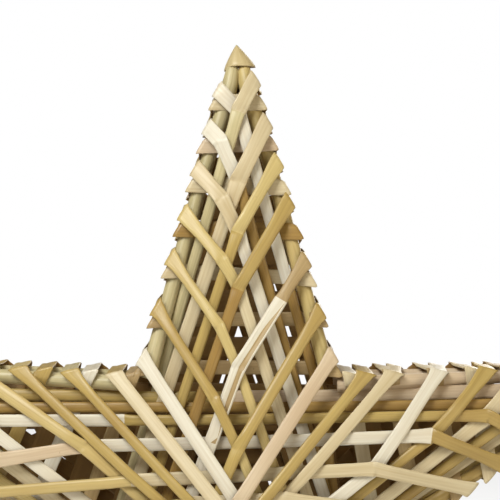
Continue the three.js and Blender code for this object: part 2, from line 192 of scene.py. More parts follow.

# What the photograph shows of the handmade winding on its front face, read off it. Drifts are how far
# along the stalk, in mm, a fold lies from its place in the even plan, by arm and then left and right.
# Stalks that the photograph doesn't show get small drawn drifts, and the back takes a share of each.
RUN_DRIFTS: dict[int, tuple[tuple[float, ...], tuple[float, ...]]] = {
    0: ((-0.5, 0.0, 1.0, 1.9, 1.9, 3.0, 3.0), (-4.4, -2.1, -1.8, -2.3, 2.9, 4.4, 2.2)),
    1: ((0.0, 0.5, -0.6, 0.8, 0.0, -0.5, 0.4), (0.0, 0.4, -0.5, -0.3, 2.4, 3.7, 1.5)),
    4: ((0.0, 0.6, -0.5, 0.0, 3.6, 5.2, 0.0), (0.5, -0.6, 0.4, 0.0, -0.4, 0.6, 0.0)),
}
BAND_DRIFTS: dict[int, tuple[tuple[float, ...], tuple[float, ...]]] = {
    0: ((-1.6, 1.0, 1.0, 2.1, 1.2, 2.1, 1.4), (-1.6, 0.0, 2.1, 3.1, 4.2, 1.8, 1.8)),
    1: ((0.0, 0.5, -0.6, 0.8, 0.6, -0.5, 0.4), (0.0, 0.6, 0.3, 1.2, 5.6, 4.6, 1.9)),
}
DRAWN_DRIFT = 0.8
DRIFT_SEED = 11
BACK_DRIFT_SHARE = 0.5
# Where a course's two straws cross on an arm: mm from the star's centre, and degrees round from its middle
CROSSINGS: dict[int, tuple[tuple[float, float], ...]] = {
    0: ((136.5, 0), (112.5, 0), (95.0, 0), (76.0, 0), (49.5, 0), (23.0, 0), (5.0, 0)),
    1: ((130.0, 0), (108.0, -0.9), (92.0, -1.6), (56.5, -5.8), (35.5, -1.6), (16.0, -0.4), (3.0, 0)),
    4: ((122.0, 1.0), (105.5, 1.1), (90.7, 2.2), (70.6, 3.0), (48.5, 0), (17.0, 4.0), (6.0, 0)),
}
# Creases in the runs that end on the top arm: mm from their crossing, towards the point and to the left
TOP_CREASES: tuple[tuple[float, float] | None, ...] = (
    None, (13.6, 6.1), (11.6, 5.5), (9.6, 5.5), (14.0, 6.1), (16.7, 7.8), None,
)
# One run, by its first arm and its course, is spliced SPLIT_LEAD mm before its crossing and is split along
# its middle from there on. The groove's sides, and the line that it opens from and closes to, are shares
# of the straw's half width, and its floor is a share of the half thickness.
SPLIT_RUN = (0, 4)
SPLIT_LEAD = 30.0
SPLIT_LENGTH = 56.0
SPLIT_OPENING = 16.0
SPLIT_CLOSING = 14.0
SPLIT_GROOVE = (-0.02, 0.6)
SPLIT_EDGE = 0.72
SPLIT_FLOOR = -0.7
# Bleached straws lie flatter than the rolled ones
FLAT_TONES = (Tone.WHITE, Tone.CREAM, Tone.PINK_CREAM)
# Straws spliced on their way over the body: mm before the last crossing, and the tone from there on
BODY_SPLICES: dict[tuple[int, int], tuple[float, str]] = {
    (3, 0): (63.0, "W"), (4, 0): (121.0, "G"), (4, 2): (49.0, "W"),
}
# How far the back runs' folds lie inwards of the same course's wraps over the front, at the points
BACK_SLANT = 3.5
# The least sine of a bend that creases a straw
LEAST_CREASE_TURN = 0.07
# What each straw stretch draws: its share of the usual width, its sway in mm and its roll in degrees
WIDTH_DRAW = (0.93, 1.1)
SWAY_DRAW = 0.2
ROLL_DRAW = 8.0


def polar(radius: float, angle: float) -> Vector:
    """Returns the plan point at a radius and an angle in degrees."""
    turn = math.radians(angle)
    return Vector((math.cos(turn) * radius, math.sin(turn) * radius))


def cross2(a: Vector, b: Vector) -> float:
    """Returns the cross product of two plan vectors."""
    return a.x * b.y - a.y * b.x


def mix(a: float, b: float, share: float) -> float:
    """Returns the value that lies a share of the way from a to b."""
    return a + (b - a) * share


def smooth(value: float) -> float:
    """Returns an eased value between 0 and 1."""
    held = min(max(value, 0.0), 1.0)
    return held * held * (3.0 - 2.0 * held)


def to_space(plan: Vector, height: float, side: int) -> Vector:
    """Returns the point in space, in millimetres, of a plan point and its distance from the middle plane."""
    return Vector((plan.x, side * height, plan.y + NOTCH_RADIUS))


@dataclass(frozen=True)
class Arm:
    """One pointed arm of the star."""

    name: str
    angle: float
    reach: float

    @property
    def axis(self) -> Vector:
        """The direction from the star's centre to the arm's point."""
        return polar(1.0, self.angle)


@dataclass(frozen=True)
class EdgeLine:
    """The centre line of an edge stalk in plan, from the cap to the notch."""

    axis: Vector
    sideways: Vector
    tip: Vector
    end: Vector
    outward: Vector
    last_fold: float
    run_drift: tuple[float, ...]
    band_drift: tuple[float, ...]

    @property
    def length(self) -> float:
        """The stalk's whole length."""
        return (self.end - self.tip).length

    @property
    def direction(self) -> Vector:
        """The direction from the cap to the notch."""
        return (self.end - self.tip).normalized()

    def at(self, distance: float) -> tuple[Vector, float, float]:
        """Finds the stalk at a distance from the cap.

        Args:
            distance: How far along the stalk, in millimetres.

        Returns:
            The plan point of its centre, its distance from the middle plane and its radius.
        """
        share = distance / self.length
        plan = self.tip + self.direction * distance
        return plan, mix(TIP_DEPTH, NOTCH_DEPTH, share), mix(STALK_TIP_RADIUS, STALK_RADIUS, share)

    def fold_distance(self, course: int, offset: float) -> float:
        """Returns the distance from the cap at which a course is folded over the stalk."""
        def grown(count: int) -> float:
            return count + PITCH_GROWTH * count * (count - 1) / 2

        span = self.length - FIRST_FOLD - self.last_fold
        return FIRST_FOLD + span * grown(course) / grown(COURSE_COUNT - 1) + offset


@dataclass(frozen=True)
class Corner:
    """Where a straw turns over a stalk, from a face to the arm's side."""

    plan: Vector
    height: float
    line: EdgeLine


@dataclass
class Strand:
    """A straw's run over a face, or a wrap across an arm, with its way as plan points and heights."""

    course: int
    arm: int
    to: int
    start: Corner
    finish: Corner
    width: float
    thickness: float
    path: list[tuple[Vector, float]]
    crossings: tuple[Vector, ...] = ()

    def places(self, side: int) -> list[Vector]:
        """Returns the way's points in space, in millimetres."""
        return [to_space(plan, height, side) for plan, height in self.path]


@dataclass(frozen=True)
class Support:
    """Where a route crosses a strand that is already wound."""

    s: float
    reach: float
    over: float
    under: float


class StarPlan:
    """The star's arms, notches and edges in plan."""

    def __init__(self) -> None:
        """Lays out the five arms and the two edges of each."""
        names = ("top", "left", "lower_left", "lower_right")
        self.arms = [Arm(name, TOP_ANGLE + i * ARM_SPACING, FULL_REACH) for i, name in enumerate(names)]
        self.arms.append(Arm("right", TOP_ANGLE + RIGHT_ARM * ARM_SPACING + RIGHT_ARM_LIFT, RIGHT_REACH))
        self.notches = [
            polar(RIGHT_LOWER_NOTCH_RADIUS if i == RIGHT_LOWER_NOTCH else NOTCH_RADIUS,
                  TOP_ANGLE + (i + 0.5) * ARM_SPACING)
            for i in range(ARM_COUNT)
        ]
        self._rng = random.Random(DRIFT_SEED)
        self.left = [self._edge(i, 1) for i in range(ARM_COUNT)]
        self.right = [self._edge(i, -1) for i in range(ARM_COUNT)]

    def _drifts(self, table: dict[int, tuple[tuple[float, ...], tuple[float, ...]]], index: int,
                side: int) -> tuple[float, ...]:
        """Returns one edge's drifts: as read from the photograph, or small drawn ones."""
        drawn = tuple(self._rng.uniform(-DRAWN_DRIFT, DRAWN_DRIFT) for _ in range(COURSE_COUNT))
        return table[index][0 if side == 1 else 1] if index in table else drawn

    def _edge(self, index: int, side: int) -> EdgeLine:
        """Returns one edge of an arm; side 1 is the arm's left."""
        arm = self.arms[index]
        axis = arm.axis
        sideways = Vector((-axis.y, axis.x)) * side
        notch_index = index if side == 1 else (index - 1) % ARM_COUNT
        notch = self.notches[notch_index]
        spread = STALK_TIP_RADIUS + STALK_GAP_AT_TIP / 2
        tip = axis * (arm.reach - CAP_LENGTH - CLEARANCE) + sideways * spread
        edge = (notch - (tip + sideways * STALK_TIP_RADIUS)).normalized()
        outward = Vector((edge.y, -edge.x))
        outward *= math.copysign(1.0, outward.dot(sideways))
        last = LAST_FOLD_AT_SHOOT if notch_index == SHOOT_NOTCH else LAST_FOLD
        return EdgeLine(axis, sideways, tip, notch - outward * STALK_RADIUS, outward, last,
                        self._drifts(RUN_DRIFTS, index, side), self._drifts(BAND_DRIFTS, index, side))

    def right_stalk_length(self, index: int) -> float:
        """Returns the length of an arm's right-hand stalk, which stops against its neighbour."""
        line = self.right[index]
        other = self.left[(index - 1) % ARM_COUNT]
        sine = abs(cross2(line.direction, other.direction))
        cosine = abs(line.direction.dot(other.direction))
        setback = (STALK_RADIUS * (1 + cosine) + CLEARANCE) / sine
        reach = cross2(other.tip - line.tip, other.direction) / cross2(line.direction, other.direction)
        return reach - setback

    def crossing(self, index: int, course: int, offset: float, side: int) -> Vector:
        """Returns where the two straws of a course cross on an arm.

        Args:
            index: The arm's index.
            course: Which course.
            offset: How far inwards the course's folds are moved.
            side: -1 for the front face and 1 for the back.

        Returns:
            The plan point, which is the photographed one where the photograph shows it.
        """
        if side < 0 and index in CROSSINGS:
            radius, turn = CROSSINGS[index][course]
            return polar(radius, self.arms[index].angle + turn)
        total = 0.0
        for line in (self.left[index], self.right[index]):
            plan, _, _ = line.at(line.fold_distance(course, offset))
            along, across = plan.dot(line.axis), abs(cross2(plan, line.axis))
            total += along - across / math.tan(math.radians(DIAGONAL_ANGLE))
        return self.arms[index].axis * max(total / 2, LEAST_CROSSING_RADIUS)

    def run_bend(self, first: Vector, last: Vector, notch: int) -> Vector | None:
        """Finds where a run is drawn in so that it passes inside a notch's stalks.

        Args:
            first: The run's crossing point on its first arm.
            last: The run's crossing point on its last arm.
            notch: Which notch the run passes.

        Returns:
            The point that the run is drawn in to, or None where it already passes inside.
        """
        towards = self.notches[notch].normalized()
        run = last - first
        radius = cross2(first, run) / cross2(towards, run)
        spread = self.left[notch].outward.dot(self.right[(notch + 1) % ARM_COUNT].outward)
        stalks = 2 * STALK_RADIUS / math.sqrt((1 + spread) / 2)
        limit = self.notches[notch].length - stalks - RUN_WIDTH / 2 - CLEARANCE
        return towards * limit if radius > limit else None


def fold_corner(line: EdgeLine, distance: float, lift: float) -> Corner:
    """Returns the corner of a straw folded over a stalk, lifted clear of the straw under it."""
    plan, depth, radius = line.at(distance)
    stand = radius + CLEARANCE + FOLD_THICKNESS / 2
    return Corner(plan + line.outward * stand, depth + stand + lift, line)


def taut_over(points: list[tuple[float, float]]) -> list[tuple[float, float]]:
    """Returns the lowest taut line over points given as distance and height."""
    hull: list[tuple[float, float]] = []
    for point in sorted(points, key=lambda item: item[0]):
        while len(hull) > 1:
            before, last = hull[-2:]
            turn = ((last[0] - before[0]) * (point[1] - before[1])
                    - (last[1] - before[1]) * (point[0] - before[0]))
            if turn < 0:
                break
            hull.pop()
        hull.append(point)
    return hull


def distances(points: list[Vector]) -> list[float]:
    """Returns how far along a line of points each of them lies."""
    return [0.0, *accumulate((b - a).length for a, b in zip(points, points[1:]))]


def reading(stops: list[float], distance: float) -> tuple[int, float]:
    """Finds the two stops that a distance lies between.

    Args:
        stops: Rising distances.
        distance: The distance to find.

    Returns:
        The index of the first of the two, and the distance's share of the way to the second.
    """
    i = next((i for i in range(1, len(stops)) if distance <= stops[i] + TINY), len(stops) - 1) - 1
    return i, (distance - stops[i]) / max(stops[i + 1] - stops[i], TINY)


def height_along(strand: Strand, distance: float) -> float:
    """Returns a strand's height at a distance along its way."""
    i, share = reading(distances([plan for plan, _ in strand.path]), distance)
    return mix(strand.path[i][1], strand.path[i + 1][1], min(max(share, 0.0), 1.0))


def supports_from(route: list[Vector], strand: Strand, width: float, thickness: float) -> list[Support]:
    """Finds every crossing of a plan route with a wound strand.

    Args:
        route: The plan points of the new straw.
        strand: The strand that is already wound.
        width: The new straw's width.
        thickness: The new straw's thickness.

    Returns:
        The crossings, with the heights that pass over and under the strand.
    """
    found = []
    clear = (strand.thickness + thickness) / 2 + WINDING_GAP
    plans = [plan for plan, _ in strand.path]
    spans = list(zip(distances(plans), plans, plans[1:]))
    for start, a, b in zip(distances(route), route, route[1:]):
        way = b - a
        for other_start, c, d in spans:
            other = d - c
            scale = cross2(way, other)
            if abs(scale) > TINY:
                share = cross2(c - a, other) / scale
                along = cross2(c - a, way) / scale
                if all(-SHARE_SLACK < value < 1 + SHARE_SLACK for value in (share, along)):
                    sine = abs(scale) / (way.length * other.length)
                    cosine = abs(way.dot(other)) / (way.length * other.length)
                    reach = (strand.width + width * cosine) / (2 * sine)
                    across = (width + strand.width * cosine) / (2 * sine)
                    at = other_start + along * other.length
                    heights = [height_along(strand, at + shift) for shift in (-across, 0.0, across)]
                    found.append(Support(start + share * way.length, reach + CLEARANCE,
                                         max(heights) + clear, min(heights) - clear))
    return found


def footprints(supports: list[Support], over: bool) -> list[tuple[float, float]]:
    """Returns both edges of each support's footprint, at the height that passes over or under it."""
    return [(item.s + end * item.reach, item.over if over else item.under)
            for item in supports for end in (-1, 1)]


class FaceWinding:
    """All that is wound on one face: the runs over it, and the other face's wraps across its arms."""

    def __init__(self, plan: StarPlan, side: int, fold_offset: float, wrap_offset: float) -> None:
        """Winds the face course by course.

        Args:
            plan: The star's plan.
            side: -1 for the front face and 1 for the back.
            fold_offset: How far inwards this face's own folds are moved.
            wrap_offset: How far inwards the other face's wraps are moved.
        """
        self.plan = plan
        self.side = side
        wraps = [self._plan_wrap(arm, course, wrap_offset)
                 for course in range(COURSE_COUNT) for arm in range(ARM_COUNT)]
        straight = [wrap for wrap in wraps if wrap.course < STRAIGHT_WRAPS]
        self.runs: list[Strand] = []
        for course in range(COURSE_COUNT):
            for turn in range(ARM_COUNT):
                arm = (FIRST_ARM_WOUND + 2 * turn) % ARM_COUNT
                self.runs.append(self._lay_run(arm, course, fold_offset, straight + self.runs))
        pressed = [wrap for wrap in wraps if wrap.course >= STRAIGHT_WRAPS]
        for wrap in pressed:
            self._press(wrap)
        self.wraps = straight + pressed

    def _corner(self, line: EdgeLine, course: int, offset: float, is_run: bool) -> Corner:
        """Returns the corner of a course's run or wrap on this face, with its handmade drift."""
        drift = (line.run_drift if is_run == (self.side < 0) else line.band_drift)[course]
        distance = line.fold_distance(course, offset) + drift * (1.0 if self.side < 0 else BACK_DRIFT_SHARE)
        if is_run and self.side > 0:
            distance += BACK_SLANT * (1 - course / COURSE_COUNT)
        return fold_corner(line, distance, FOLD_THICKNESS + CLEARANCE if is_run else 0.0)

    def _lay_run(self, arm: int, course: int, offset: float, wound: list[Strand]) -> Strand:
        """Returns a straw laid taut over everything that is wound already."""
        plan, to = self.plan, (arm + 2) % ARM_COUNT
        start = self._corner(plan.right[arm], course, offset, True)
        finish = self._corner(plan.left[to], course, offset, True)
        first = plan.crossing(arm, course, offset, self.side)
        last = plan.crossing(to, course, offset, self.side)
        bends = [plan.run_bend(first, last, index % ARM_COUNT) for index in (arm, arm + 1)]
        route = [start.plan, first, *[bend for bend in bends if bend is not None], last, finish.plan]
        crease = TOP_CREASES[course] if to == 0 and self.side < 0 else None
        if crease:
            line = plan.left[to]
            route.insert(-1, last + line.axis * crease[0] + line.sideways * crease[1])
        total = distances(route)[-1]
        supports = [hit for strand in wound
                    for hit in supports_from(route, strand, RUN_WIDTH, RUN_THICKNESS)]
        points = [(s, height) for s, height in footprints(supports, True) if 0 < s < total]
        hull = taut_over(points + [(0.0, start.height), (total, finish.height)])
        return Strand(course, arm, to, start, finish, RUN_WIDTH, RUN_THICKNESS, self._path(route, hull),
                      (first, last))

    @staticmethod
    def _path(route: list[Vector], hull: list[tuple[float, float]]) -> list[tuple[Vector, float]]:
        """Returns a route's plan points with the hull's heights, at every bend of either."""
        corners, turns = distances(route), [s for s, _ in hull]
        path = []
        for s in sorted({*corners, *turns}):
            i, share = reading(corners, s)
            j, rise = reading(turns, s)
            path.append((route[i].lerp(route[i + 1], share), mix(hull[j][1], hull[j + 1][1], rise)))
        return path

    def _plan_wrap(self, arm: int, course: int, offset: float) -> Strand:
        """Returns a flat wrap straight across an arm, over its two stalks."""
        start = self._corner(self.plan.left[arm], course, offset, False)
        finish = self._corner(self.plan.right[arm], course, offset, False)
        path = [(start.plan, start.height), (finish.plan, finish.height)]
        return Strand(course, arm, arm, start, finish, FOLD_WIDTH, FOLD_THICKNESS, path)

    def _press(self, wrap: Strand) -> None:
        """Presses a wrap into the hollow arm just inside its stalks, under every straw wound later."""
        (start, low), (finish, high) = wrap.path
        length = (finish - start).length
        inset, width = STALK_SHOULDER + PRESSED_MARGIN, FOLD_WIDTH * PRESSED_SHARE
        hits = [hit for run in self.runs
                for hit in supports_from([start, finish], run, width, FOLD_THICKNESS)]
        points = [(min(max(s, inset), length - inset), -height)
                  for s, height in footprints(hits, False) if 0 < s < length]
        hull = taut_over(points + [(STALK_SHOULDER, -low), (length - STALK_SHOULDER, -high)])
        middle = [(start.lerp(finish, s / length), -height) for s, height in hull]
        wrap.path = [(start, low), *middle, (finish, high)]


@dataclass
class Ring:
    """One station along a straw: its centre, its half width and half thickness as vectors, in mm."""

    centre: Vector
    wide: Vector
    thin: Vector
    travelled: float
    tone: Tone
    split: float = 0.0


@dataclass
class Stretch:
    """A stretch of a winding between two corners, with the tones that start at its splices."""

    points: list[Vector]
    normal: Vector
    start_along: Vector
    finish_along: Vector
    start_normal: Vector
    finish_normal: Vector
    splices: list[tuple[float, Tone]]
    is_run: bool
    is_back: bool = False
    is_split: bool = False
    spread: float = 1.0
    start_sine: float = 0.0

    def tone_at(self, distance: float) -> Tone:
        """Returns the tone at a distance along the stretch."""
        return [tone for start, tone in self.splices if start <= distance + SHARE_SLACK][-1]

    def split_at(self, distance: float) -> float:
        """Returns how far open the straw is split at a distance along the stretch, from 0 to 1."""
        if not self.is_split:
            return 0.0
        opened = distance - self.splices[1][0]
        return smooth(opened / SPLIT_OPENING) * smooth((SPLIT_LENGTH - opened) / SPLIT_CLOSING)

    def creases(self) -> list[tuple[float, float]]:
        """Returns the distance of each bend in plan, and which way it turns."""
        found, points = [], self.points
        for start, a, b, c in zip(distances(points)[1:], points, points[1:], points[2:]):
            before, after = Vector((b.x - a.x, b.z - a.z)), Vector((c.x - b.x, c.z - b.z))
            turn = cross2(before.normalized(), after.normalized())
            if self.is_run and abs(turn) > LEAST_CREASE_TURN:
                found.append((start, math.copysign(1.0, turn)))
        return found


@dataclass(frozen=True)
class Irregularity:
    """What one handmade stretch draws: its width, its sway and where that starts, and its roll in degrees."""

    width: float
    sway: float
    phase: float
    roll: float

    @staticmethod
    def draw(rng: random.Random, is_run: bool) -> "Irregularity":
        """Draws the values of one stretch; only a run over a face sways."""
        return Irregularity(rng.uniform(*WIDTH_DRAW), rng.uniform(-SWAY_DRAW, SWAY_DRAW) if is_run else 0.0,
                            rng.uniform(0, math.tau), rng.uniform(-ROLL_DRAW, ROLL_DRAW))


@dataclass
class TubeMesh:
    """Collects the surface of several straws for one mesh."""

    name: str
    vertices: list[Vector] = field(default_factory=list)
    faces: list[tuple[int, ...]] = field(default_factory=list)
    uvs: list[tuple[float, float]] = field(default_factory=list)
    tones: list[Tone] = field(default_factory=list)

    def add_tube(self, rings: list[list[Vector]], travelled: list[float], tone_of: list[Tone],
                 row: int, looped: bool) -> None:
        """Adds a closed tube through rings of points.

        Args:
            rings: The rings, each with the same number of points, in millimetres.
            travelled: Each ring's distance along the straw.
            tone_of: The tone of the stretch that starts at each ring.
            row: Sets the straw apart from the others in the fibre pattern.
            looped: Whether the last ring joins the first one; otherwise the ends are closed.
        """
        base, count = len(self.vertices), len(rings[0])
        self.vertices.extend(point * METRES for ring in rings for point in ring)
        spans = len(rings) if looped else len(rings) - 1
        for i in range(spans):
            j = (i + 1) % len(rings)
            ahead = travelled[i] + (rings[j][0] - rings[i][0]).length
            for k in range(count):
                m = (k + 1) % count
                self.faces.append((base + i * count + k, base + i * count + m,
                                   base + j * count + m, base + j * count + k))
                low, high = row + k / count * ROW_SHARE, row + (k + 1) / count * ROW_SHARE
                self.uvs.extend(((travelled[i], low), (travelled[i], high), (ahead, high), (ahead, low)))
                self.tones.append(tone_of[i])
        if not looped:
            for i, order in ((0, -1), (len(rings) - 1, 1)):
                loop = [base + i * count + k for k in range(count)][::order]
                self.faces.append(tuple(loop))
                self.uvs.extend((travelled[i] + END_GRAIN * math.cos(k), row + 0.5) for k in range(count))
                self.tones.append(tone_of[min(i, len(tone_of) - 1)])

    def build(self, materials: Materials) -> bpy.types.Object:
        """Makes the mesh object with its fibre coordinates and one material slot per tone.

        Args:
            materials: The material of each tone.

        Returns:
            The linked object.
        """
        mesh = bpy.data.meshes.new(self.name)
        mesh.from_pydata(self.vertices, [], self.faces)
        layer = mesh.uv_layers.new(name=FIBRE_UV)
        layer.data.foreach_set("uv", [value for uv in self.uvs for value in uv])
        used = sorted(set(self.tones), key=lambda tone: tone.value)
        for tone in used:
            mesh.materials.append(materials[tone])
        mesh.polygons.foreach_set("material_index", [used.index(tone) for tone in self.tones])
        mesh.polygons.foreach_set("use_smooth", [True] * len(self.faces))
        mesh.update()
        if mesh_volume(mesh) < 0:
            mesh.flip_normals()
        piece = bpy.data.objects.new(self.name, mesh)
        bpy.context.scene.collection.objects.link(piece)
        return piece


def mesh_volume(mesh: bpy.types.Mesh) -> float:
    """Returns six times the signed volume of a closed mesh."""
    mesh.calc_loop_triangles()
    points = mesh.vertices
    return sum(points[a].co.dot(points[b].co.cross(points[c].co))
               for a, b, c in (triangle.vertices for triangle in mesh.loop_triangles))


@dataclass
class StrawCourses:
    """The fourteen wound courses: seven over the front face and seven over the back.

    Widths, thicknesses, steps and lengths are millimetres, ear_turn and crease_roll are degrees, and
    sway_turn is radians for each mm. The spreads are shares of the usual width, longest_mitre is a share of
    a stretch, and the crease's widening and thinning are shares of the straw's half sizes.
    """

    plan: StarPlan
    section_points: int = 18
    section_power: float = 0.8
    inner_sine: float = -0.3
    step: float = 2.4
    fold_step: float = 0.8
    least_last_step: float = 0.32
    flat_width: float = 4.3
    rolled_width: float = 3.7
    flat_thickness: float = 1.25
    rolled_thickness: float = 2.0
    outer_spread: float = 1.18
    back_spread: float = 1.52
    arm_part: float = 22.0
    fold_width: float = 4.9
    fold_thickness: float = 0.8
    ear_width: float = 5.7
    ear_turn: float = 16.0
    flattened_length: float = 12.0
    mitre_length: float = 4.5
    longest_mitre: float = 0.45
    least_mitre_sine: float = 0.45
    crease_half: float = 0.35
    crease_length: float = 7.0
    crease_roll: float = 15.0
    crease_widening: float = 0.16
    crease_thinning: float = 0.5
    sway_turn: float = 0.045
    bend_ease: float = 1.2
    seed: int = 20
    rng: random.Random = field(init=False)

    def __post_init__(self) -> None:
        """Winds both faces and starts the seeded variation."""
        self.front = FaceWinding(self.plan, -1, 0.0, WRAP_OFFSET)
        self.back = FaceWinding(self.plan, 1, WRAP_OFFSET, 0.0)
        self.rng = random.Random(self.seed)

    def _corner_frame(self, corner: Corner, side: int) -> tuple[Vector, Vector, Vector]:
        """Returns a corner's place, the stalk's direction there and the direction out of the fold."""
        line = corner.line
        slope = (NOTCH_DEPTH - TIP_DEPTH) / line.length
        along = Vector((line.direction.x, side * slope, line.direction.y)).normalized()
        out = Vector((line.outward.x, side, line.outward.y))
        out = (out - along * out.dot(along)).normalized()
        return to_space(corner.plan, corner.height, side), along, out

    def _face_stretch(self, strand: Strand, side: int, is_run: bool) -> Stretch:
        """Returns the stretch of a run or a wrap over a face."""
        start, start_along, start_out = self._corner_frame(strand.start, side)
        finish, finish_along, finish_out = self._corner_frame(strand.finish, side)
        places = strand.places(side)
        letters = self._tone_letters(strand, side < 0, is_run)
        splices = [(0.0, TONE_LETTERS[letters[0]])]
        for distance, (plan, _) in zip(distances(places), strand.path):
            for crossing, letter in zip(strand.crossings, letters[1:]):
                if (plan - crossing).length < SAME_PLACE and distance > splices[-1][0] + SAME_PLACE:
                    splices.append((distance, TONE_LETTERS[letter]))
        is_split = is_run and side < 0 and (strand.arm, strand.course) == SPLIT_RUN
        spread = self.outer_spread if strand.course < OUTER_COURSE_COUNT else 1.0
        spread = self.back_spread if side > 0 else spread
        if side < 0 and is_run and (strand.arm, strand.course) in BODY_SPLICES:
            lead, letter = BODY_SPLICES[strand.arm, strand.course]
            splices.insert(-1, (splices[-1][0] - lead, TONE_LETTERS[letter]))
        if is_split:
            splices[1] = (splices[1][0] - SPLIT_LEAD, splices[1][1])
        return Stretch([start, *places[1:-1], finish], Vector((0, side, 0)), start_along, finish_along,
                       start_out, finish_out, splices, is_run, side > 0, is_split, spread)

    @staticmethod
    def _side_stretch(before: Stretch, after: Stretch, line: EdgeLine) -> Stretch:
        """Returns the stretch across an arm's side, between the folds of two face stretches."""
        normal = Vector((line.outward.x, 0, line.outward.y))
        arriving = (before.points[-1] - before.points[-2]).normalized()
        return Stretch([before.points[-1], after.points[0]], normal, before.finish_along, after.start_along,
                       before.finish_normal, after.start_normal, [(0.0, before.splices[-1][1])], False,
                       start_sine=arriving.cross(before.finish_along).length)

    def _tone_letters(self, strand: Strand, is_front_face: bool, is_run: bool) -> str:
        """Returns a strand's tones: as in the photograph where that shows it, otherwise drawn ones."""
        drawn = self.rng.choice(DRAWN_TONES)
        if is_front_face and is_run:
            return FRONT_RUN_TONES[strand.arm][strand.course]
        if is_front_face and strand.arm in FRONT_BAND_TONES:
            return FRONT_BAND_TONES[strand.arm][strand.course]
        return drawn * 3

    def _stretches(self, course: int, own: FaceWinding, other: FaceWinding) -> list[Stretch]:
        """Returns the whole closed winding of one course, stretch by stretch."""
        stretches: list[Stretch] = []
        arm = FIRST_ARM_WOUND
        faces = []
        for _ in range(ARM_COUNT):
            run = next(item for item in own.runs if item.course == course and item.arm == arm)
            wrap = next(item for item in other.wraps if item.course == course and item.arm == run.to)
            faces.append((self._face_stretch(run, own.side, True), run.finish))
            faces.append((self._face_stretch(wrap, other.side, False), wrap.finish))
            arm = run.to
        for (stretch, corner), (following, _) in zip(faces, faces[1:] + faces[:1]):
            stretches += [stretch, self._side_stretch(stretch, following, corner.line)]
        return stretches

    def _rings(self, stretch: Stretch, travelled: float) -> list[Ring]:
        """Lays rings along a stretch, flattened and mitred towards its folds.

        Args:
            stretch: The stretch between two corners.
            travelled: The distance already travelled along the winding.

        Returns:
            The rings from the first corner up to, but without, the last one.
        """
        starts = distances(stretch.points)
        total = starts[-1]
        creases = stretch.creases()
        stops = self._stops(total, [s for s, _ in creases])
        places = self._rounded(stretch.points, starts, stops)
        drawn = Irregularity.draw(self.rng, stretch.is_run)
        rings = []
        for i, (s, place) in enumerate(zip(stops[:-1], places)):
            tangent = (places[i + 1] - places[max(i - 1, 0)]).normalized()
            near_fold = min(s, total - s)
            free = smooth(near_fold / self.flattened_length)
            flat = 1.0 - free if stretch.is_run else 1.0
            tone = stretch.tone_at(s)
            creased, roll = self._crease(s, creases)
            half_width, half_thick = self._half_sizes(stretch, tone, near_fold, flat, drawn.width)
            half_width *= 1.0 + self.crease_widening * creased
            half_thick *= 1.0 - self.crease_thinning * creased
            across = tangent.cross(stretch.normal).normalized()
            turn = Quaternion(tangent, math.radians(roll + drawn.roll * (1.0 - flat)))
            wide, thin = turn @ (across * half_width), turn @ (stretch.normal * half_thick)
            along = self._ear(stretch, s < total / 2)
            along = along * math.copysign(1.0, along.dot(across))
            meeting = stretch.start_sine if i == 0 and stretch.start_sine else tangent.cross(along).length
            sine = max(meeting, self.least_mitre_sine)
            mitre = 1.0 - smooth(near_fold / min(self.mitre_length, total * self.longest_mitre))
            wide = wide.lerp(along * (self.ear_width / 2 / sine), mitre)
            if i == 0:
                thin = stretch.start_normal * (half_thick * math.sqrt(2))
            bend = math.sin(s * self.sway_turn + drawn.phase) * drawn.sway * free
            rings.append(Ring(place + across * bend, wide, thin, travelled + s, tone, stretch.split_at(s)))
        return rings

    def _half_sizes(self, stretch: Stretch, tone: Tone, near_fold: float, flat: float,
                    drawn_width: float) -> tuple[float, float]:
        """Returns a straw's half width and half thickness between its rolled and its flattened shape."""
        spread = stretch.spread
        if stretch.is_run and not stretch.is_back:
            spread = mix(spread, 1.0, smooth((near_fold - self.arm_part) / self.arm_part))
        is_flat = tone in FLAT_TONES
        width = (self.flat_width if is_flat else self.rolled_width) * drawn_width * spread
        thickness = self.flat_thickness if is_flat else self.rolled_thickness
        return (mix(width, self.fold_width * spread, flat) / 2,
                mix(thickness, self.fold_thickness, flat) / 2)

    def _ear(self, stretch: Stretch, at_start: bool) -> Vector:
        """Returns the line of a fold: along the stalk, with its inner end turned outwards like an ear."""
        along = stretch.start_along if at_start else stretch.finish_along
        outward = stretch.start_normal if at_start else stretch.finish_normal
        sideways = Vector((outward.x, 0.0, outward.z)).normalized()
        turn = math.radians(self.ear_turn)
        return (along * math.cos(turn) + sideways * math.sin(turn)).normalized()

    def _crease(self, distance: float, creases: list[tuple[float, float]]) -> tuple[float, float]:
        """Returns how flat a straw is pressed by the nearest crease, and how far it is rolled, in degrees."""
        if not creases:
            return 0.0, 0.0
        place, way = min(creases, key=lambda item: abs(item[0] - distance))
        away = distance - place
        creased = max(1.0 - abs(away) / self.crease_length, 0.0)
        return creased ** 2, math.copysign(self.crease_roll, away) * way * creased

    def _stops(self, total: float, creases: list[float]) -> list[float]:
        """Returns the distances of the rings along a stretch, closer together near its folds and creases."""
        sharp = [place + shift for place in creases for shift in (-self.crease_half, self.crease_half)]
        stops, s = [0.0], 0.0
        while s < total:
            near = [abs(place - s) for place in creases] + [s, total - s]
            s += self.fold_step if min(near) < self.mitre_length else self.step
            is_free = all(abs(place - s) > self.fold_step / 2 for place in sharp)
            if s < total - self.least_last_step and is_free:
                stops.append(s)
        return sorted(stops + [place for place in sharp if 0 < place < total]) + [total]

    def _rounded(self, points: list[Vector], starts: list[float], stops: list[float]) -> list[Vector]:
        """Returns places along a line of points, with its bends eased."""
        def on_line(distance: float) -> Vector:
            i, share = reading(starts, min(max(distance, 0.0), starts[-1]))
            return points[i].lerp(points[i + 1], share)

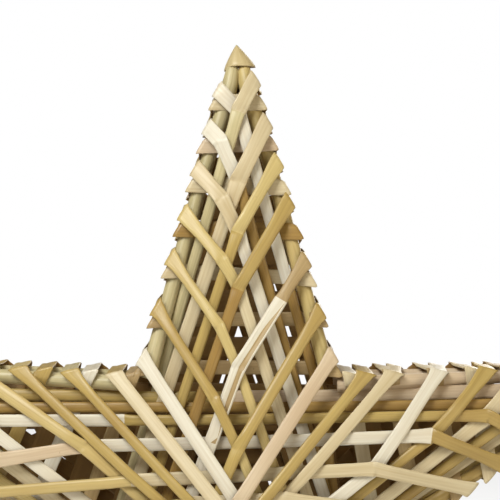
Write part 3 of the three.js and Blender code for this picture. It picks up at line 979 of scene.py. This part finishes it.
        places = []
        for s in stops:
            ease = min(self.bend_ease, s, starts[-1] - s)
            places.append((on_line(s - ease) + on_line(s) * 2 + on_line(s + ease)) / 4)
        return places

    def _section(self, ring: Ring) -> list[Vector]:
        """Returns the points of a straw's flattened oval section, with a groove where the straw is split."""
        points = []
        for k in range(self.section_points):
            turn = math.tau * (k + 0.5) / self.section_points
            cosine, sine = math.cos(turn), math.sin(turn)
            wide = math.copysign(abs(cosine) ** self.section_power, cosine)
            thin = math.copysign(abs(sine) ** self.section_power, sine)
            if ring.split > 0 and sine > 0 and SPLIT_GROOVE[0] < -wide < SPLIT_GROOVE[1]:
                wide = mix(-SPLIT_EDGE, wide, ring.split)
                thin = mix(thin, SPLIT_FLOOR, ring.split)
            points.append(ring.centre + ring.wide * wide + ring.thin * thin)
        return points

    def build_course(self, course: int, is_front: bool, materials: Materials) -> bpy.types.Object:
        """Makes one course of straws.

        Args:
            course: Which course, counted from 0 at the points.
            is_front: Whether its runs lie on the front face.
            materials: The material of each tone.

        Returns:
            The course's object.
        """
        own, other = (self.front, self.back) if is_front else (self.back, self.front)
        name = f"{'front' if is_front else 'back'}_course_{course + 1}"
        tube = TubeMesh(f"{name}_straws")
        rings: list[Ring] = []
        for stretch in self._stretches(course, own, other):
            rings += self._rings(stretch, rings[-1].travelled + self.fold_step if rings else 0.0)
        tube.add_tube([self._section(ring) for ring in rings], [ring.travelled for ring in rings],
                      [ring.tone for ring in rings], course + (0 if is_front else COURSE_COUNT), True)
        self._shade(tube, rings)
        return tube.build(materials)

    def _shade(self, tube: TubeMesh, rings: list[Ring]) -> None:
        """Paints shade on the straws: a brown painted shade on their sides that face into the star, and a tan
        painted shade in a split one's groove.
        """
        for k in range(self.section_points):
            turn = math.tau * (k + 1) / self.section_points
            is_inner = math.sin(turn) < self.inner_sine
            is_groove = math.sin(turn) > 0 and SPLIT_GROOVE[0] < -math.cos(turn) < SPLIT_GROOVE[1]
            for i, ring in enumerate(rings):
                # Sides that face into the star get the brown painted shade, and the split straw's groove gets
                # the tan painted shade of its dark slit
                if is_inner or (is_groove and ring.split > 0):
                    tube.tones[i * self.section_points + k] = Tone.INNER if is_inner else Tone.TAN


@dataclass
class EdgeStalks:
    """The thick stalks along the arms' edges, two on each face of each arm.

    Each swells towards its cap, from swell_end + swell_fall mm along it, and is a tube at its cut end. The
    scales and the unevenness are shares of its radius, and the two turns are radians for each mm.
    """

    plan: StarPlan
    sides: int = 20
    step: float = 4.0
    waver: float = 0.054
    waver_turn: float = 0.07
    unevenness: float = 0.02
    uneven_turn: float = 0.11
    tip_growth: float = 0.8
    swell_start: float = -6.0
    swell_rise: float = 13.0
    swell_end: float = 12.0
    swell_fall: float = 28.0
    shared_room: float = 0.35
    tip_rise: float = 1.8
    tip_pinch: float = 0.4
    tip_scales: tuple[float, float] = (0.45, 0.66)
    cut_scale: float = 0.98
    bore_scales: tuple[float, float] = (0.74, 0.7)
    bore_depth: float = 2.5
    seed: int = 7

    def _stations(self, length: float) -> list[tuple[float, float]]:
        """Returns distances along a stalk and its share of the full radius there, with a hollowed cut end."""
        count = max(int(length / self.step), 2)
        middle = [(length * i / count, 1.0) for i in range(1, count)]
        ends = zip((length, length - self.bore_depth), self.bore_scales)
        return [*((-self.tip_rise, scale) for scale in self.tip_scales), (0.0, self.cut_scale), *middle,
                (length, self.cut_scale), *ends]

    def _ring(self, line: EdgeLine, side: int, distance: float, scale: float, phase: float) -> list[Vector]:
        """Returns the points round a stalk at a distance; it swells under the cap as far as there is room."""
        plan, depth, radius = line.at(max(distance, 0.0))
        room = (plan.dot(line.sideways) - radius + self.shared_room) / 2
        swell = (self.tip_growth * smooth((distance - self.swell_start) / self.swell_rise)
                 * (1 - smooth((distance - self.swell_end) / self.swell_fall)))
        swell = max(min(swell, room), 0.0)
        pinch = self.tip_pinch if distance < 0 else 0.0
        plan = plan + line.axis * max(-distance, 0.0) - line.sideways * (pinch + swell)
        centre = to_space(plan, depth, side)
        outward = Vector((line.outward.x, 0, line.outward.y))
        uneven = 1 - self.unevenness * (1 - math.sin(distance * self.uneven_turn + phase * 2))
        radius = (radius + swell) * scale * uneven
        wobble = self.waver * math.sin(distance * self.waver_turn + phase)
        turns = (math.tau * (k + 0.5) / self.sides for k in range(self.sides))
        return [centre + outward * (radius * math.cos(turn) + wobble)
                + Vector((0, radius * math.sin(turn), 0)) for turn in turns]

    def build(self, arm: int, side: int, is_left: bool, row: int,
              materials: Materials) -> bpy.types.Object:
        """Makes one stalk, a little uneven along its length and slightly hollowed at its cut ends.

        Args:
            arm: The arm's index.
            side: -1 for the front face and 1 for the back.
            is_left: Whether it is the arm's left-hand stalk.
            row: Sets its fibre pattern apart.
            materials: The material of each tone.

        Returns:
            The stalk's object.
        """
        line = (self.plan.left if is_left else self.plan.right)[arm]
        length = line.length if is_left else self.plan.right_stalk_length(arm)
        phase = random.Random(self.seed + row).uniform(0, math.tau)
        face = "front" if side < 0 else "back"
        name = f"{self.plan.arms[arm].name}_arm_{face}_{'left' if is_left else 'right'}_stalk"
        stations = self._stations(length)
        rings = [self._ring(line, side, distance, scale, phase) for distance, scale in stations]
        tone = TONE_LETTERS[STALK_TONES[arm][0 if is_left else 1]]
        tube = TubeMesh(f"{name}_straw")
        tube.add_tube(rings, [distance for distance, _ in stations], [tone] * len(rings), row, False)
        return tube.build(materials)


@dataclass
class TipCaps:
    """The folded straw caps that close the arms' points, in millimetres from where the CAD's caps start."""

    plan: StarPlan
    half_width: float = 5.7
    half_depth: float = 5.4
    height: float = 8.7
    rim_rise: float = 0.8
    rim_arch: float = 0.2
    rim_drop: float = 1.4
    rim_sharpness: int = 3
    lean: float = 0.6
    wall: float = 0.55
    facet_depth: float = 0.05
    facet_turn: float = 0.5
    least_scale: float = 0.02
    nib_rings: int = 3
    sides: int = 36
    # Shares of the height, from the rim to the point, with the cap's share of its full width there
    inner_profile: tuple[tuple[float, float], ...] = ((0.62, 0.50), (0.3, 0.80), (0.0, 1.0))
    outer_profile: tuple[tuple[float, float], ...] = (
        (0.0, 1.0), (0.08, 0.985), (0.25, 0.85), (0.45, 0.65), (0.62, 0.47), (0.78, 0.29), (0.9, 0.15),
        (0.97, 0.06), (1.0, 0.02),
    )

    def _ring(self, arm: Arm, share: float, scale: float, wall: float) -> list[Vector]:
        """Returns the points round a cap at a share of its height; its rim arches, and drops on one side."""
        axis, ring = arm.axis, []
        sideways = Vector((-axis.y, axis.x))
        for k in range(self.sides):
            turn = math.tau * (k + 0.5) / self.sides
            rim = self.rim_rise + self.rim_arch * abs(math.sin(turn))
            rim -= self.rim_drop * max(math.cos(turn), 0.0) ** self.rim_sharpness
            facet = 1.0 - self.facet_depth * abs(math.cos(turn * 2 + self.facet_turn)) * scale
            across = max(scale * facet - wall / self.half_width, self.least_scale)
            aside = self.half_width * across * math.cos(turn) + mix(-self.lean, self.lean, share)
            plan = axis * (arm.reach - CAP_LENGTH + mix(rim, self.height, share)) + sideways * aside
            ring.append(to_space(plan, self.half_depth * across * math.sin(turn), 1))
        return ring

    def build(self, arm: int, materials: Materials) -> bpy.types.Object:
        """Makes one cap: a pointed cone folded from a flat straw, open below, with an uneven rim.

        Args:
            arm: The arm's index.
            materials: The material of each tone.

        Returns:
            The cap's object.
        """
        item = self.plan.arms[arm]
        levels = [(share, scale, self.wall) for share, scale in self.inner_profile]
        levels += [(share, scale, 0.0) for share, scale in self.outer_profile]
        inside = len(self.inner_profile)
        tones = [Tone.TAN] * inside + [Tone.CAP] * (len(levels) - inside - self.nib_rings)
        tones += [Tone.GREENISH] * self.nib_rings
        tube = TubeMesh(f"{item.name}_arm_tip_cap_fold")
        tube.add_tube([self._ring(item, *level) for level in levels],
                      [share * self.height * 2 for share, _, _ in levels], tones, CAP_ROWS + arm, False)
        return tube.build(materials)


@dataclass(frozen=True)
class Grain:
    """A noise stretched along the straws: its scale along and round them, its detail and the range used."""

    along: float
    around: float
    detail: float
    low: float = 0.0
    high: float = 1.0


# The straw material's noises, shares, ranges and fixed values
FINE_FIBRE = Grain(0.035, 26.0, 3.0)
BROAD_FIBRE = Grain(0.012, 9.0, 2.0)
PATCHES = Grain(0.03, 1.1, 2.5, 0.42, 0.72)
SPECKS = Grain(0.5, 7.0, 1.0, 0.76, 0.86)
BROAD_SHARE = 0.6
STREAK_RANGE = (0.6, 1.05)
STREAK_CONTRAST = 0.55
SPECK_SHADE = 0.7
ROUGHNESS_RANGE = (-0.06, 0.16)
SURFACE = {"Sheen Weight": 0.08, "Specular IOR Level": 0.55}
BUMP = {"Strength": 0.35, "Distance": 0.0003}
# The Mix node's colour sockets share their names with its other kinds' sockets, so they go by number
MIX_UNDER, MIX_OVER, MIX_RESULT = 6, 7, 2


class NodeSheet:
    """A node tree to which nodes are added with their values and links in one go."""

    def __init__(self, tree: bpy.types.NodeTree) -> None:
        """Takes the tree."""
        self.tree = tree

    def add(self, kind: str, inputs: dict[str | int, object] | None = None,
            **settings: object) -> bpy.types.Node:
        """Adds a node.

        Args:
            kind: The shader node's type, without its prefix.
            inputs: What goes into each named or numbered input: a socket or a constant value.
            settings: The node's own settings.

        Returns:
            The node.
        """
        node = self.tree.nodes.new(kind if kind.startswith("Node") else f"ShaderNode{kind}")
        for name, value in settings.items():
            setattr(node, name, value)
        self.set(node, inputs or {})
        return node

    def set(self, node: bpy.types.Node, inputs: dict[str | int, object]) -> None:
        """Links or sets a node's inputs."""
        for key, value in inputs.items():
            if isinstance(value, Socket):
                self.tree.links.new(value, node.inputs[key])
            else:
                node.inputs[key].default_value = value

    def maths(self, operation: str, *values: object) -> Socket:
        """Returns the result of a sum over sockets and constant values."""
        return self.add("Math", dict(enumerate(values)), operation=operation).outputs[0]

    def choice(self, share: Socket, *shaders: Socket) -> Socket:
        """Returns the first of two shaders where the share is 0 and the second where it is 1."""
        return self.add("MixShader", dict(enumerate((share, *shaders)))).outputs["Shader"]

    def noise(self, grain: Grain) -> Socket:
        """Returns a noise over the straw's own coordinates: x along it and y round it."""
        place = self.add("UVMap", uv_map=FIBRE_UV).outputs["UV"]
        stretched = self.add("Mapping", {"Scale": (grain.along, grain.around, 1.0), "Vector": place})
        return self.add("TexNoise", {"Scale": 1.0, "Detail": grain.detail,
                                     "Vector": stretched.outputs["Vector"]}).outputs["Fac"]

    def ramp(self, value: Socket, low: float, high: float) -> Socket:
        """Returns a value's place between a low and a high end, from 0 to 1."""
        ends = {"From Min": low, "From Max": high, "Value": value}
        return self.add("MapRange", ends).outputs["Result"]

    def blend(self, mask: Socket, under: object, over: object) -> Socket:
        """Mixes a colour over another by a mask; the one under may be a socket or a colour."""
        under, over = (((*colour, 1.0) if isinstance(colour, tuple) else colour) for colour in (under, over))
        return self.add("Mix", {"Factor": mask, MIX_UNDER: under, MIX_OVER: over},
                        data_type="RGBA").outputs[MIX_RESULT]


class StrawShaders:
    """The node groups that the straw materials share, and the materials themselves."""

    def __init__(self) -> None:
        """Builds the shared groups."""
        self.fibre = self._fibre_group()
        self.stain = self._stain_group()

    @staticmethod
    def _group(name: str, entry: str, outputs: tuple[str, ...]) -> NodeSheet:
        """Returns a new group with one number as its input and numbers as its outputs."""
        group = bpy.data.node_groups.new(name, "ShaderNodeTree")
        group.interface.new_socket(entry, in_out="INPUT", socket_type="NodeSocketFloat")
        for output in outputs:
            group.interface.new_socket(output, in_out="OUTPUT", socket_type="NodeSocketFloat")
        return NodeSheet(group)

    def _fibre_group(self) -> bpy.types.NodeTree:
        """Builds the lengthwise fibre effect: a fine streak mask and a height for bump."""
        sheet = self._group("lengthwise_fibre", "Contrast", ("Streaks", "Height"))
        contrast = sheet.add("NodeGroupInput").outputs["Contrast"]
        height = sheet.maths("MULTIPLY_ADD", sheet.noise(BROAD_FIBRE), BROAD_SHARE, sheet.noise(FINE_FIBRE))
        streaks = sheet.maths("MULTIPLY", sheet.ramp(height, *STREAK_RANGE), contrast)
        sheet.add("NodeGroupOutput", {"Streaks": streaks, "Height": height})
        return sheet.tree

    def _stain_group(self) -> bpy.types.NodeTree:
        """Builds the weathering effect: soft patches along a straw and small dark specks."""
        sheet = self._group("natural_stains", "Amount", ("Patches", "Specks"))
        amount = sheet.add("NodeGroupInput").outputs["Amount"]
        patches, specks = (sheet.ramp(sheet.noise(grain), grain.low, grain.high)
                           for grain in (PATCHES, SPECKS))
        sheet.add("NodeGroupOutput", {"Patches": sheet.maths("MULTIPLY", patches, amount),
                                      "Specks": specks})
        return sheet.tree

    def straw_material(self, finish: StrawFinish) -> bpy.types.Material:
        """Makes a straw material.

        Args:
            finish: Its tone, colours and surface.

        Returns:
            The material.
        """
        material = bpy.data.materials.new(f"straw_{finish.tone.value}")
        material.use_nodes = True
        sheet = NodeSheet(material.node_tree)
        fibre = sheet.add("Group", {"Contrast": STREAK_CONTRAST}, node_tree=self.fibre)
        stains = sheet.add("Group", {"Amount": finish.mottling}, node_tree=self.stain)
        streaks = fibre.outputs["Streaks"]
        speck = tuple(value * SPECK_SHADE for value in finish.stain)
        colour = sheet.blend(streaks, finish.body, finish.fibre)
        colour = sheet.blend(stains.outputs["Patches"], colour, finish.stain)
        colour = sheet.blend(stains.outputs["Specks"], colour, speck)
        smoothest, roughest = (finish.roughness + change for change in ROUGHNESS_RANGE)
        rough = sheet.add("MapRange", {"To Min": smoothest, "To Max": roughest, "Value": streaks})
        bump = sheet.add("Bump", {**BUMP, "Height": fibre.outputs["Height"]})
        sheet.set(material.node_tree.nodes["Principled BSDF"],
                  {**SURFACE, "Base Color": colour, "Roughness": rough.outputs["Result"],
                   "Normal": bump.outputs["Normal"]})
        return material


@dataclass(frozen=True)
class SoftLight:
    """A square soft light: its place and size in metres, its power in watts and its colour."""

    name: str
    place: Triple
    size: float
    power: float
    colour: Triple


LIGHTS = (
    SoftLight("key_light", (-0.40, -0.70, 0.75), 0.45, 8.7, (0.985, 1.0, 0.945)),
    SoftLight("fill_light", (0.6, -0.7, 0.25), 0.8, 2.6, (1.0, 0.92, 0.70)),
    SoftLight("top_light", (-0.2, 0.25, 1.05), 0.6, 1.6, (1.0, 0.94, 0.80)),
    SoftLight("back_light", (0.45, 1.0, 0.5), 0.6, 4.5, (1.0, 0.97, 0.92)),
)


@dataclass
class Studio:
    """The pale floor, the white background and the camera; lengths are metres, the lens millimetres."""

    frame_width: float = 0.1707
    aim: Triple = (0.0041, -0.012, 0.1458)
    lens: float = 150.0
    sensor: float = 36.0
    floor_height: float = -0.0745
    floor_size: float = 4.0
    floor_colour: tuple[float, float, float, float] = (0.86, 0.86, 0.85, 1.0)
    floor_roughness: float = 0.9
    floor_glow: float = 0.85
    ambient: float = 0.15
    ambient_colour: tuple[float, float, float, float] = (1.0, 0.82, 0.50, 1.0)

    def build(self) -> None:
        """Sets up everything round the object."""
        self._floor()
        self._world()
        self._camera()
        for light in LIGHTS:
            self._light(light)

    def _floor(self) -> None:
        """Makes the plain pale floor, which looks as bright as the background but lights nothing."""
        bpy.ops.mesh.primitive_plane_add(size=self.floor_size, location=(0, 0, self.floor_height))
        floor = bpy.context.object
        floor.name = "studio_floor"
        material = bpy.data.materials.new("pale_floor")
        material.use_nodes = True
        nodes, sheet = material.node_tree.nodes, NodeSheet(material.node_tree)
        shader = nodes["Principled BSDF"]
        sheet.set(shader, {"Base Color": self.floor_colour, "Roughness": self.floor_roughness})
        seen = sheet.add("LightPath").outputs["Is Camera Ray"]
        share = sheet.maths("MULTIPLY", seen, self.floor_glow)
        glow = sheet.add("Emission").outputs["Emission"]
        sheet.set(nodes["Material Output"], {"Surface": sheet.choice(share, shader.outputs["BSDF"], glow)})
        floor.data.materials.append(material)

    def _world(self) -> None:
        """Gives the world the even white of the photograph's background, but a dimmer light of its own."""
        world = bpy.data.worlds.new("white_studio")
        world.use_nodes = True
        nodes, sheet = world.node_tree.nodes, NodeSheet(world.node_tree)
        sheet.set(nodes["Background"], {"Color": self.ambient_colour, "Strength": self.ambient})
        white = sheet.add("Background", {"Color": (1.0, 1.0, 1.0, 1.0)})
        seen = sheet.add("LightPath").outputs["Is Camera Ray"]
        both = (nodes["Background"].outputs["Background"], white.outputs["Background"])
        sheet.set(nodes["World Output"], {"Surface": sheet.choice(seen, *both)})
        scene = bpy.context.scene
        scene.world = world
        scene.view_settings.view_transform = "Standard"

    def _camera(self) -> None:
        """Places the camera straight in front, as in the photograph."""
        data = bpy.data.cameras.new("photo_camera")
        data.lens = self.lens
        data.sensor_width = self.sensor
        data.sensor_fit = "HORIZONTAL"
        camera = bpy.data.objects.new("photo_camera", data)
        distance = self.frame_width * self.lens / self.sensor
        camera.location = Vector(self.aim) + Vector((0, -distance, 0))
        camera.rotation_euler = (math.pi / 2, 0, 0)
        bpy.context.scene.collection.objects.link(camera)
        bpy.context.scene.camera = camera

    def _light(self, light: SoftLight) -> None:
        """Adds a soft light that points at the star."""
        data = bpy.data.lights.new(light.name, "AREA")
        data.size, data.energy, data.color = light.size, light.power, light.colour
        lamp = bpy.data.objects.new(light.name, data)
        lamp.location = light.place
        lamp.rotation_euler = (Vector(self.aim) - Vector(light.place)).to_track_quat("-Z", "Y").to_euler()
        bpy.context.scene.collection.objects.link(lamp)


COURSE_SLOTS = ("bleached_straw", "cream_straw", "pale_yellow_straw", "gold_yellow_straw", "split_straw",
                "gold_straw", "white_straw")


def hand_over(piece: bpy.types.Object, slot: str, *nodes: str) -> None:
    """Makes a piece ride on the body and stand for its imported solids."""
    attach(piece, ROOT)
    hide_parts(*nodes)
    LOG.info("%s stands for %s with %d faces", piece.name, ", ".join(nodes), len(piece.data.polygons))


def course_nodes(course: int, is_front: bool) -> list[str]:
    """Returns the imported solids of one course: two straws for an outer course and three for an inner one."""
    sets = ("top", "side") if course < OUTER_COURSE_COUNT else ("top", "side", "left")
    return [f"{'front' if is_front else 'back'}_course_{course + 1}_{name}_straws" for name in sets]


def main() -> None:
    """Builds the dressed topper and the studio round it."""
    logging.basicConfig(level=logging.INFO, format="%(name)s: %(message)s")
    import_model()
    Studio().build()
    shaders = StrawShaders()
    materials = {tone: shaders.straw_material(finish) for tone, finish in FINISHES.items()}
    plan = StarPlan()
    courses = StrawCourses(plan)
    for is_front in (True, False):
        for course in range(COURSE_COUNT):
            piece = courses.build_course(course, is_front, materials)
            hand_over(piece, COURSE_SLOTS[course], *course_nodes(course, is_front))
    stalks, caps = EdgeStalks(plan), TipCaps(plan)
    row = STALK_ROWS
    for index, arm in enumerate(plan.arms):
        hand_over(caps.build(index, materials), "folded_cap", f"{arm.name}_arm_tip_cap")
        for side in (-1, 1):
            for is_left in (True, False):
                piece = stalks.build(index, side, is_left, row, materials)
                hand_over(piece, "edge_stalk", piece.name.removesuffix("_straw"))
                row += 1


if __name__ == "__main__":
    main()
